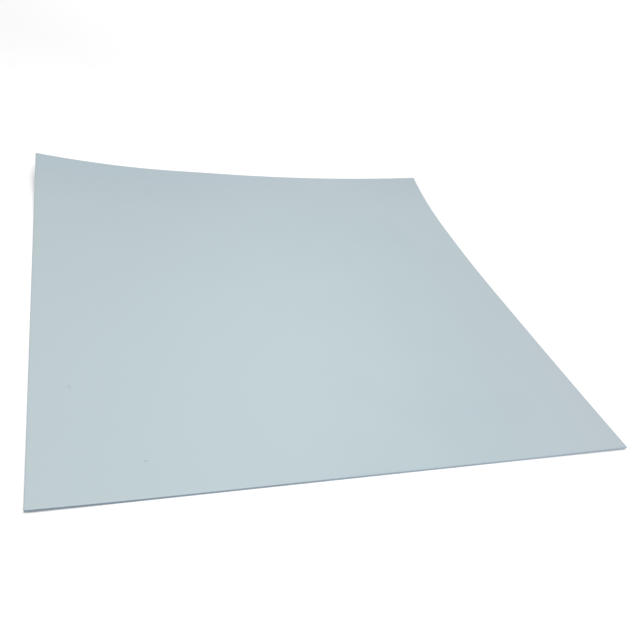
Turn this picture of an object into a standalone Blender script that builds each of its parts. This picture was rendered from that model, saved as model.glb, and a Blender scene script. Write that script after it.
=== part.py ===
"""Thermal pad sheet: one cut sheet of ceramic-filled silicone gap pad, lying on a level surface.

Metres, +Z up. The origin is on the surface that the sheet rests on, under the middle of the sheet.
The near edge runs along X and the far edge faces +Y. The middle of the sheet is flat. Its far edge
curls up a little, and each corner is bent up across its own diagonal, the far two the most.
"""

import bmesh
import bpy

# Cut size of the sheet before it curls.
SHEET_WIDTH = 0.200
SHEET_LENGTH = 0.200
SHEET_THICKNESS = 0.0008

# The far edge's curl: how high it lifts the edge, and how much of the sheet it takes off the surface.
FAR_EDGE_LIFT = 0.0029
FAR_EDGE_REACH = 0.040

# The corners' bends: how high each lifts its corner, and how far from the corner its fold line
# meets the two edges.
FAR_LEFT_LIFT = 0.0046
FAR_LEFT_REACH = 0.065
FAR_RIGHT_LIFT = 0.0057
FAR_RIGHT_REACH = 0.107
NEAR_LEFT_LIFT = 0.0004
NEAR_LEFT_REACH = 0.036
NEAR_RIGHT_LIFT = 0.0005
NEAR_RIGHT_REACH = 0.060

# Longest side of a mesh cell.
CELL_SIDE = 0.005

# Surface finish of the silicone.
PAD_COLOUR = (0.50, 0.60, 0.64, 1.0)
PAD_ROUGHNESS = 0.62


def clear_scene():
    for obj in list(bpy.data.objects):
        bpy.data.objects.remove(obj)


def bend(lift, reach, distance):
    """Rise and draw-back of a point at this distance from a bent edge or corner.

    The bend is a parabola that starts flat at its reach. The draw-back is what the slope takes from
    the sheet's length, so that the bent sheet keeps its cut size.
    """
    share = max(0.0, 1 - distance / reach)
    return lift * share**2, 2 / 3 * lift**2 * share**3 / reach


def underside_point(x, y):
    """Where a point of the flat sheet's underside lies once the sheet has curled."""
    from_left = SHEET_WIDTH / 2 + x
    from_right = SHEET_WIDTH / 2 - x
    from_near = SHEET_LENGTH / 2 + y
    from_far = SHEET_LENGTH / 2 - y

    rise, draw_back = bend(FAR_EDGE_LIFT, FAR_EDGE_REACH, from_far)
    place = [x, y - draw_back, rise]

    # Each corner's lift and reach, its distance along both edges, and the way back to the middle.
    corners = (
        (FAR_LEFT_LIFT, FAR_LEFT_REACH, from_left + from_far, 1, -1),
        (FAR_RIGHT_LIFT, FAR_RIGHT_REACH, from_right + from_far, -1, -1),
        (NEAR_LEFT_LIFT, NEAR_LEFT_REACH, from_left + from_near, 1, 1),
        (NEAR_RIGHT_LIFT, NEAR_RIGHT_REACH, from_right + from_near, -1, 1),
    )
    for lift, reach, distance, toward_x, toward_y in corners:
        rise, draw_back = bend(lift, reach, distance)
        place[0] += toward_x * draw_back
        place[1] += toward_y * draw_back
        place[2] += rise
    return place


def curled_underside():
    """The sheet's underside as an open grid, with its cut edge marked sharp."""
    bm = bmesh.new()
    bmesh.ops.create_grid(
        bm,
        x_segments=round(SHEET_WIDTH / CELL_SIDE),
        y_segments=round(SHEET_LENGTH / CELL_SIDE),
        size=0.5,
    )
    for vert in bm.verts:
        vert.co = underside_point(vert.co.x * SHEET_WIDTH, vert.co.y * SHEET_LENGTH)
    for edge in bm.edges:
        edge.smooth = not edge.is_boundary
    mesh = bpy.data.meshes.new("thermal_pad_sheet")
    bm.to_mesh(mesh)
    bm.free()
    mesh.shade_smooth()
    return mesh


def silicone_material():
    material = bpy.data.materials.new("filled_silicone")
    material.use_nodes = True
    shader = material.node_tree.nodes["Principled BSDF"]
    shader.inputs["Base Color"].default_value = PAD_COLOUR
    shader.inputs["Roughness"].default_value = PAD_ROUGHNESS
    shader.inputs["Metallic"].default_value = 0.0
    return material


def build_sheet(collection):
    sheet = bpy.data.objects.new("thermal_pad_sheet", curled_underside())
    collection.objects.link(sheet)
    sheet.data.materials.append(silicone_material())
    body = sheet.modifiers.new("thickness", "SOLIDIFY")
    body.thickness = SHEET_THICKNESS
    body.offset = 1.0
    body.use_even_offset = True


def main():
    clear_scene()
    collection = bpy.data.collections.new("thermal pad sheet")
    bpy.context.scene.collection.children.link(collection)
    build_sheet(collection)


main()
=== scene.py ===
import math

import bmesh
import bpy
from mathutils import Matrix, Vector, noise


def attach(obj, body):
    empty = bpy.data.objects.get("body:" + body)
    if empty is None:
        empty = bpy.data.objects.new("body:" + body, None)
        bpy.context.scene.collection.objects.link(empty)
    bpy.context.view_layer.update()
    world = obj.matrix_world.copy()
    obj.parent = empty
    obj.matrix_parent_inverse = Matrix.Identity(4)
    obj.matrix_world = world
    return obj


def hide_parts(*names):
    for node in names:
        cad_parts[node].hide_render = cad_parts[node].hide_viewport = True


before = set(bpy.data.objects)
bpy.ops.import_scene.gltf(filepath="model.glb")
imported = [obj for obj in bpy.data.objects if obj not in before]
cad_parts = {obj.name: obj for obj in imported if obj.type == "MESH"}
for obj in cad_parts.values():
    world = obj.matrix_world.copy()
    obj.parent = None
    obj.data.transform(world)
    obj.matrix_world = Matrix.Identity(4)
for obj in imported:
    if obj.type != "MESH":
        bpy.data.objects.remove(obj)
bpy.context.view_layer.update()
print("frame: the pad's solid is loaded")


# Colours are written as sRGB hex and turned to the linear values that Blender's sockets hold.
def linearColour(hexCode):
    channels = [int(hexCode[start:start + 2], 16) / 255 for start in (1, 3, 5)]
    return [c / 12.92 if c <= 0.04045 else ((c + 0.055) / 1.055) ** 2.4 for c in channels] + [1.0]


# Adds one node, sets its properties, and fills or links its sockets.
def addNode(tree, kind, sockets=None, **settings):
    node = tree.nodes.new(kind)
    for name, value in settings.items():
        setattr(node, name, value)
    for name, value in (sockets or {}).items():
        if isinstance(value, bpy.types.NodeSocket):
            tree.links.new(value, node.inputs[name])
        else:
            node.inputs[name].default_value = value
    return node


def newMaterial(name):
    material = bpy.data.materials.new(name)
    material.use_nodes = True
    material.node_tree.nodes.clear()
    return material, material.node_tree


# Turns a finished bmesh into an object at the origin.
def newPiece(bm, name):
    mesh = bpy.data.meshes.new(name)
    bm.to_mesh(mesh)
    bm.free()
    piece = bpy.data.objects.new(name, mesh)
    bpy.context.scene.collection.objects.link(piece)
    return piece


# Camera at the photograph's viewing angle, above and before the near left corner, tilted sideways.
camera = {
    "place": (-0.09145, -0.21989, 0.15332),  # m, from the middle of the sheet
    "turn": 26.13,      # degrees to the right of straight ahead
    "down": 34.65,      # degrees below level
    "roll": 14.81,      # degrees of tilt about the line of sight
    "lens": 38.06,      # mm
    "sensor": 36,       # mm wide
    "nearest": 0.005,   # m, the nearest thing that it sees
    "farthest": 50,     # m, and the farthest
}


def makeCamera():
    data = bpy.data.cameras.new("camera")
    data.lens = camera["lens"]
    data.sensor_width = camera["sensor"]
    data.clip_start = camera["nearest"]
    data.clip_end = camera["farthest"]
    obj = bpy.data.objects.new("camera", data)
    turned = Matrix.Rotation(math.radians(-camera["turn"]), 4, "Z")
    lowered = Matrix.Rotation(math.radians(90 - camera["down"]), 4, "X")
    rolled = Matrix.Rotation(math.radians(camera["roll"]), 4, "Z")
    obj.matrix_world = Matrix.Translation(camera["place"]) @ turned @ lowered @ rolled
    bpy.context.scene.collection.objects.link(obj)
    bpy.context.scene.camera = obj


makeCamera()
print("camera: placed")


# The pad sheet, in metres. Its curl repeats the solid's, each bend as (lift, reach).
pad = {
    "width": 0.200,
    "length": 0.200,
    "thickness": 0.0008,
    "farEdge": (0.0029, 0.040),
    "farLeft": (0.0046, 0.065),
    "farRight": (0.0057, 0.107),
    "nearLeft": (0.0004, 0.036),
    "nearRight": (0.0005, 0.060),
    "cell": 0.002,          # mesh spacing, fine enough to carry the waviness
    "slopeStep": 0.0005,    # distance to each side over which the curl's slope is taken
    "arrisAngle": 1.0,      # radians, only the cut's arrises and four corners turn more than this
    "edgeRound": 0.00016,   # rounding of those arrises and corners
    "rimBand": 0.0008,      # band along the cut that the blade presses down
    "rimSink": 0.00004,     # how far it is pressed
    "waveSize": 0.028,      # calendered sheet is never quite level: width of a swell
    "waveHeight": 0.00003,
}


# Rise and draw-back of a point at this distance from a bent edge or corner.
def bend(liftAndReach, distance):
    lift, reach = liftAndReach
    share = max(0.0, 1 - distance / reach)
    return lift * share ** 2, 2 / 3 * lift ** 2 * share ** 3 / reach


# Where a point of the flat underside lies on the curled sheet.
def curled(x, y):
    fromLeft = pad["width"] / 2 + x
    fromRight = pad["width"] / 2 - x
    fromNear = pad["length"] / 2 + y
    fromFar = pad["length"] / 2 - y
    rise, drawBack = bend(pad["farEdge"], fromFar)
    place = Vector((x, y - drawBack, rise))
    corners = (
        ("farLeft", fromLeft + fromFar, 1, -1),
        ("farRight", fromRight + fromFar, -1, -1),
        ("nearLeft", fromLeft + fromNear, 1, 1),
        ("nearRight", fromRight + fromNear, -1, 1),
    )
    for name, distance, towardX, towardY in corners:
        rise, drawBack = bend(pad[name], distance)
        place += Vector((towardX * drawBack, towardY * drawBack, rise))
    return place


# A point of the flat slab, carried onto the curled sheet at its own height above the underside.
def onCurl(point):
    step = pad["slopeStep"]
    here = curled(point.x, point.y)
    alongX = curled(point.x + step, point.y) - curled(point.x - step, point.y)
    alongY = curled(point.x, point.y + step) - curled(point.x, point.y - step)
    return here + alongX.cross(alongY).normalized() * point.z


def makePad():
    bm = bmesh.new()
    bmesh.ops.create_grid(
        bm,
        x_segments=round(pad["width"] / pad["cell"]),
        y_segments=round(pad["length"] / pad["cell"]),
        size=0.5,
    )
    bmesh.ops.scale(bm, vec=(pad["width"], pad["length"], 1), verts=bm.verts)
    bmesh.ops.inset_region(bm, faces=bm.faces, thickness=pad["rimBand"], use_boundary=True,
                           use_even_offset=True)
    top = bmesh.ops.extrude_face_region(bm, geom=bm.faces[:])["geom"]
    topVerts = [item for item in top if isinstance(item, bmesh.types.BMVert)]
    bmesh.ops.translate(bm, vec=(0, 0, pad["thickness"]), verts=topVerts)
    bmesh.ops.recalc_face_normals(bm, faces=bm.faces)

    # The cut's upright faces take the second material, and its arrises and corners are rounded.
    for face in bm.faces:
        face.material_index = 1 if abs(face.normal.z) < 0.5 else 0
    arrises = [edge for edge in bm.edges if edge.calc_face_angle(0) > pad["arrisAngle"]]
    bmesh.ops.bevel(bm, geom=arrises, offset=pad["edgeRound"], segments=3, profile=0.5,
                    affect="EDGES", material=-1, clamp_overlap=True)

    # The top swells and sinks a little, and dips where the blade pressed it.
    for vert in bm.verts:
        if vert.co.z > pad["thickness"] / 2:
            vert.co.z += pad["waveHeight"] * noise.noise(vert.co / pad["waveSize"])
            toEdge = min(pad["width"] / 2 - abs(vert.co.x), pad["length"] / 2 - abs(vert.co.y))
            vert.co.z -= pad["rimSink"] * max(0.0, 1 - toEdge / pad["rimBand"])
    for vert in bm.verts:
        vert.co = onCurl(vert.co)

    piece = newPiece(bm, "padSheet")
    piece.data.shade_smooth()
    return piece


padSheet = makePad()
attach(padSheet, "root")
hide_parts("thermal_pad_sheet")
print("pad sheet:", len(padSheet.data.polygons), "faces")


# Silicone rubber filled with ceramic powder, calendered between liner films. It is opaque, satin and
# a little waxy, so it shows a broad soft sheen and no mirror image. Its faults are few and small:
# clouds where the filler lies denser, grains of filler that stand out, and pinholes where bubbles
# broke. The tones of the left side, the right corner and the far edge follow the photograph, which
# doesn't tell whether they are in the silicone or in the light on it. The left side is simply drawn a
# little warmer. The right corner's grey is painted light, where the sheen's cyan tint falls off, and
# the far edge's darkening is painted shade on the curl.
silicone = {
    "colour": "#A3B2B6",
    "cloudColour": "#A1B0B5",     # where the filler lies denser
    "leftColour": "#A5B2B6",      # toward the left edge, a little warmer
    "cornerSheenFadeColour": "#A7B2B8",    # right edge and near right corner, a little greyer: painted light, where the sheen's cyan tint falls off
    "farShadeColour": "#A0AEB5",       # far edge, a little darker: painted shade on the curl
    "speckColour": "#8D9CA7",     # a grain of filler that stands out
    # painted shade inside a pinhole
    "pinholeShadeColour": "#5D6B73",
    "smoothest": 0.41,            # roughness in the clouds
    "roughest": 0.44,             # roughness between them
    "refraction": 1.43,
    "cloudSize": 0.030,           # m, width of a cloud
    "cloudFrom": 0.35,            # value of the noise where a cloud begins
    "cloudFull": 0.65,            # and where it is full
    "leftFrom": 0.020,            # m along X, where the left tone begins
    "sheenFadeWay": (1.0, -0.3, 0.0),   # the way the painted grey grows: right and a little to the near edge
    "sheenFadeFrom": 0.062,          # m that way, where the painted grey begins
    "sheenFadeFull": 0.122,          # and where it is full
    "farShadeReach": 0.035,            # m, how far in from the far edge its painted shade fades out
    "grainSize": 0.0009,          # m, the liner's 0.3 mm grain, 3 times as coarse, faint in soft light
    "grainDepth": 0.00002,
    "speckSpacing": 0.013,
    "speckRadius": 0.00016,       # m, 0.1 mm grains, drawn 0.3 mm wide so that they show
    "speckCore": 0.6,             # share of that radius over which a speck has its full colour
    "speckShare": 0.45,           # share of the places that hold a speck
    "pinholeDepth": 0.0001,
    "pinholeFloor": 0.3,          # a pinhole is deepest within this share of its size
    "pinholeRim": 1.1,            # and ends at this share
    "pinholes": (                 # place, half length along X, half width along Y, in m, and how dark its painted shade is
        (-0.0883, -0.0541, 0.00070, 0.00090, 0.15),
        (-0.0686, -0.0867, 0.00040, 0.00044, 0.28),
        (-0.0681, -0.0867, 0.00085, 0.00038, 0.17),
        (0.0308, 0.0507, 0.00035, 0.00035, 0.12),
        (-0.0940, -0.0705, 0.00030, 0.00030, 0.10),
        (0.0615, -0.0240, 0.00030, 0.00030, 0.12),
    ),
}


def makeSilicone():
    material, tree = newMaterial("filledSilicone")
    place = addNode(tree, "ShaderNodeTexCoord").outputs["Object"]
    axes = addNode(tree, "ShaderNodeSeparateXYZ", {"Vector": place})

    # Clouds of filler.
    clouds = addNode(tree, "ShaderNodeTexNoise", {
        "Vector": place, "Scale": 1 / silicone["cloudSize"], "Detail": 3.0, "Roughness": 0.45})
    cloudy = addNode(tree, "ShaderNodeMapRange", {
        "Value": clouds.outputs["Fac"],
        "From Min": silicone["cloudFrom"],
        "From Max": silicone["cloudFull"]}).outputs["Result"]

    # The warmer left side, the painted light of the right corner and the painted shade of the far
    # edge.
    toLeft = addNode(tree, "ShaderNodeMapRange", {
        "Value": axes.outputs["X"],
        "From Min": silicone["leftFrom"],
        "From Max": -pad["width"] / 2}).outputs["Result"]
    # Grey toward the right corner: painted light, where the sheen's cyan tint falls off.
    toCorner = addNode(tree, "ShaderNodeVectorMath", {
        0: place, 1: silicone["sheenFadeWay"]}, operation="DOT_PRODUCT")
    sheenFadeShare = addNode(tree, "ShaderNodeMapRange", {
        "Value": toCorner.outputs["Value"],
        "From Min": silicone["sheenFadeFrom"],
        "From Max": silicone["sheenFadeFull"]}).outputs["Result"]
    # Darker toward the far edge: painted shade on the curl.
    farShadeShare = addNode(tree, "ShaderNodeMapRange", {
        "Value": axes.outputs["Y"],
        "From Min": pad["length"] / 2 - silicone["farShadeReach"],
        "From Max": pad["length"] / 2}).outputs["Result"]

    # Filler specks: one may lie in each cell of a plane of scattered points.
    cells = addNode(tree, "ShaderNodeTexVoronoi", {
        "Vector": place, "Scale": 1 / silicone["speckSpacing"]}, voronoi_dimensions="2D")
    speckRadius = silicone["speckRadius"] / silicone["speckSpacing"]
    nearSpeck = addNode(tree, "ShaderNodeMapRange", {
        "Value": cells.outputs["Distance"],
        "From Min": silicone["speckCore"] * speckRadius,
        "From Max": speckRadius,
        "To Min": 1.0, "To Max": 0.0}).outputs["Result"]
    draw = addNode(tree, "ShaderNodeSeparateXYZ", {"Vector": cells.outputs["Color"]})
    held = addNode(tree, "ShaderNodeMath", {
        0: draw.outputs["X"], 1: silicone["speckShare"]}, operation="LESS_THAN")
    speck = addNode(tree, "ShaderNodeMath", {
        0: nearSpeck, 1: held.outputs[0]}, operation="MULTIPLY").outputs[0]

    # Each tone is laid over the ones before it. Sockets 6 and 7 of a colour mix hold its two colours.
    tone = linearColour(silicone["colour"])
    layers = (
        (cloudy, "cloudColour"),
        (toLeft, "leftColour"),
        (sheenFadeShare, "cornerSheenFadeColour"),
        (farShadeShare, "farShadeColour"),
        (speck, "speckColour"),
    )
    for share, colour in layers:
        tone = addNode(tree, "ShaderNodeMix", {
            0: share, 6: tone, 7: linearColour(silicone[colour])}, data_type="RGBA").outputs[2]

    # Liner grain, and the pinholes, which are sunk and darkened with painted shade.
    grain = addNode(tree, "ShaderNodeTexNoise", {
        "Vector": place, "Scale": 1 / silicone["grainSize"], "Detail": 2.0, "Roughness": 0.6})
    relief = addNode(tree, "ShaderNodeMath", {
        0: grain.outputs["Fac"], 1: silicone["grainDepth"]}, operation="MULTIPLY").outputs[0]
    pinholeShadeColour = linearColour(silicone["pinholeShadeColour"])
    for alongX, alongY, halfLength, halfWidth, darkness in silicone["pinholes"]:
        centred = addNode(tree, "ShaderNodeMapping", {
            "Vector": place,
            "Location": (-alongX / halfLength, -alongY / halfWidth, 0),
            "Scale": (1 / halfLength, 1 / halfWidth, 0)})
        away = addNode(tree, "ShaderNodeVectorMath", {
            0: centred.outputs["Vector"]}, operation="LENGTH")
        hole = addNode(tree, "ShaderNodeMapRange", {
            "Value": away.outputs["Value"],
            "From Min": silicone["pinholeFloor"],
            "From Max": silicone["pinholeRim"],
            "To Min": darkness, "To Max": 0.0}).outputs["Result"]
        tone = addNode(tree, "ShaderNodeMix", {
            0: hole, 6: tone, 7: pinholeShadeColour}, data_type="RGBA").outputs[2]
        relief = addNode(tree, "ShaderNodeMath", {
            0: hole, 1: -silicone["pinholeDepth"], 2: relief}, operation="MULTIPLY_ADD").outputs[0]

    bump = addNode(tree, "ShaderNodeBump", {"Height": relief, "Distance": 1.0, "Strength": 1.0})
    rough = addNode(tree, "ShaderNodeMapRange", {
        "Value": cloudy, "To Min": silicone["roughest"], "To Max": silicone["smoothest"]})
    shader = addNode(tree, "ShaderNodeBsdfPrincipled", {
        "Base Color": tone,
        "Roughness": rough.outputs["Result"],
        "IOR": silicone["refraction"],
        "Normal": bump.outputs["Normal"]})
    addNode(tree, "ShaderNodeOutputMaterial", {"Surface": shader.outputs["BSDF"]})
    return material


# The same silicone where a blade has sheared it. The photograph shows this face as a thin line,
# darker and bluer than the top, most toward the left. It is drawn as a rough face without the top's
# smooth skin, with the blade's fine lines across its thickness. Its dark tone is partly that rough
# face and partly painted shade, deepest toward the left. Toward the right it pales with painted light.
cutFace = {
    "shadedCutColour": "#7A8896",      # painted shade, toward the left end of the sheet
    "litCutColour": "#A1B1BE",     # painted light, toward the right end, where the line is paler
    "litCutFrom": -0.090,          # m along X, where the painted light on the cut begins
    "roughness": 0.72,
    "lineSpacing": 0.0008,        # m along the cut, 0.3 mm lines drawn coarser so that they show
    "lineStretch": 0.15,          # scale across the thickness, which draws the lines out upright
    "lineStrength": 0.8,
    "lineDepth": 0.00006,
    "patchSize": 0.024,           # m, patches that shift the cut's tone at random between its painted shade and painted light
    "patchStrength": 0.5,
}


def makeCutFace():
    material, tree = newMaterial("cutSilicone")
    place = addNode(tree, "ShaderNodeTexCoord").outputs["Object"]
    axes = addNode(tree, "ShaderNodeSeparateXYZ", {"Vector": place})
    # Painted light grows along X from the shaded left end of the cut to its paler right end.
    litAlongCut = addNode(tree, "ShaderNodeMapRange", {
        "Value": axes.outputs["X"],
        "From Min": cutFace["litCutFrom"],
        "From Max": pad["width"] / 2})
    upright = addNode(tree, "ShaderNodeMapping", {
        "Vector": place, "Scale": (1, 1, cutFace["lineStretch"])})
    lines = addNode(tree, "ShaderNodeTexNoise", {
        "Vector": upright.outputs["Vector"], "Scale": 1 / cutFace["lineSpacing"], "Detail": 2.0})
    patches = addNode(tree, "ShaderNodeTexNoise", {
        "Vector": place, "Scale": 1 / cutFace["patchSize"], "Detail": 1.0})

    # Noise is 0.5 in the middle, so half of both strengths is taken off again.
    share = addNode(tree, "ShaderNodeMath", {
        0: lines.outputs["Fac"], 1: cutFace["lineStrength"], 2: litAlongCut.outputs["Result"]},
        operation="MULTIPLY_ADD")
    share = addNode(tree, "ShaderNodeMath", {
        0: patches.outputs["Fac"], 1: cutFace["patchStrength"], 2: share.outputs[0]},
        operation="MULTIPLY_ADD")
    share = addNode(tree, "ShaderNodeMath", {
        0: share.outputs[0], 1: (cutFace["lineStrength"] + cutFace["patchStrength"]) / 2},
        operation="SUBTRACT", use_clamp=True)
    # The cut's tone runs from its painted shade to its painted light.
    tone = addNode(tree, "ShaderNodeMix", {
        0: share.outputs[0],
        6: linearColour(cutFace["shadedCutColour"]),
        7: linearColour(cutFace["litCutColour"])}, data_type="RGBA")
    bump = addNode(tree, "ShaderNodeBump", {
        "Height": lines.outputs["Fac"], "Distance": cutFace["lineDepth"], "Strength": 1.0})
    shader = addNode(tree, "ShaderNodeBsdfPrincipled", {
        "Base Color": tone.outputs[2],
        "Roughness": cutFace["roughness"],
        "IOR": silicone["refraction"],
        "Normal": bump.outputs["Normal"]})
    addNode(tree, "ShaderNodeOutputMaterial", {"Surface": shader.outputs["BSDF"]})
    return material


padSheet.data.materials.append(makeSilicone())
padSheet.data.materials.append(makeCutFace())
print("materials: silicone and cut edge")


# Plain pale floor and soft studio light: an even white surround, a panel close above the near left of
# the sheet, a panel behind it whose reflection is the sheet's soft sheen, and a broad panel turned
# away from it that lights only the floor in the background. The floor is board in matt white
# emulsion, which scatters the light evenly and hardly shines.
studio = {
    "floorColour": "#FAFAFA",
    "floorRoughness": 0.9,
    "floorShine": 0.2,            # specular level
    "floorSize": 8.0,
    "floorDrop": 0.00002,         # m, keeps the floor just under the sheet
    "skyColour": "#FFFFFF",
    "skyStrength": 0.85,
    "backPanel": {
        "place": (0.402, 0.809, 0.789), "aim": (-0.03, -0.05, 0), "size": 0.46, "power": 1.227},
    "nearPanel": {
        "place": (-0.035, -0.086, 0.30), "aim": (-0.03, -0.05, 0), "size": 0.20, "power": 0.491},
    "floorPanel": {
        "place": (0.60, 0.70, 1.10), "aim": (1.70, 1.80, 0), "size": 1.60, "power": 13.0},
}


def makeFloor():
    bm = bmesh.new()
    bmesh.ops.create_grid(bm, x_segments=4, y_segments=4, size=studio["floorSize"] / 2)
    bmesh.ops.translate(bm, vec=(0, 0, -studio["floorDrop"]), verts=bm.verts)
    floor = newPiece(bm, "floor")
    material, tree = newMaterial("mattWhiteEmulsion")
    shader = addNode(tree, "ShaderNodeBsdfPrincipled", {
        "Base Color": linearColour(studio["floorColour"]),
        "Roughness": studio["floorRoughness"],
        "Specular IOR Level": studio["floorShine"]})
    addNode(tree, "ShaderNodeOutputMaterial", {"Surface": shader.outputs["BSDF"]})
    floor.data.materials.append(material)


def makePanel(name):
    panel = studio[name]
    data = bpy.data.lights.new(name, "AREA")
    data.size = panel["size"]
    data.energy = panel["power"]
    light = bpy.data.objects.new(name, data)
    light.visible_camera = False
    light.location = panel["place"]
    towardAim = Vector(panel["aim"]) - light.location
    light.rotation_euler = towardAim.to_track_quat("-Z", "Y").to_euler()
    bpy.context.scene.collection.objects.link(light)


def makeStudio():
    makeFloor()
    for name in ("backPanel", "nearPanel", "floorPanel"):
        makePanel(name)
    world = bpy.data.worlds.new("studio")
    world.use_nodes = True
    background = world.node_tree.nodes["Background"]
    background.inputs["Color"].default_value = linearColour(studio["skyColour"])
    background.inputs["Strength"].default_value = studio["skyStrength"]
    bpy.context.scene.world = world
    bpy.context.scene.view_settings.view_transform = "Standard"


makeStudio()
print("studio: floor and lights")
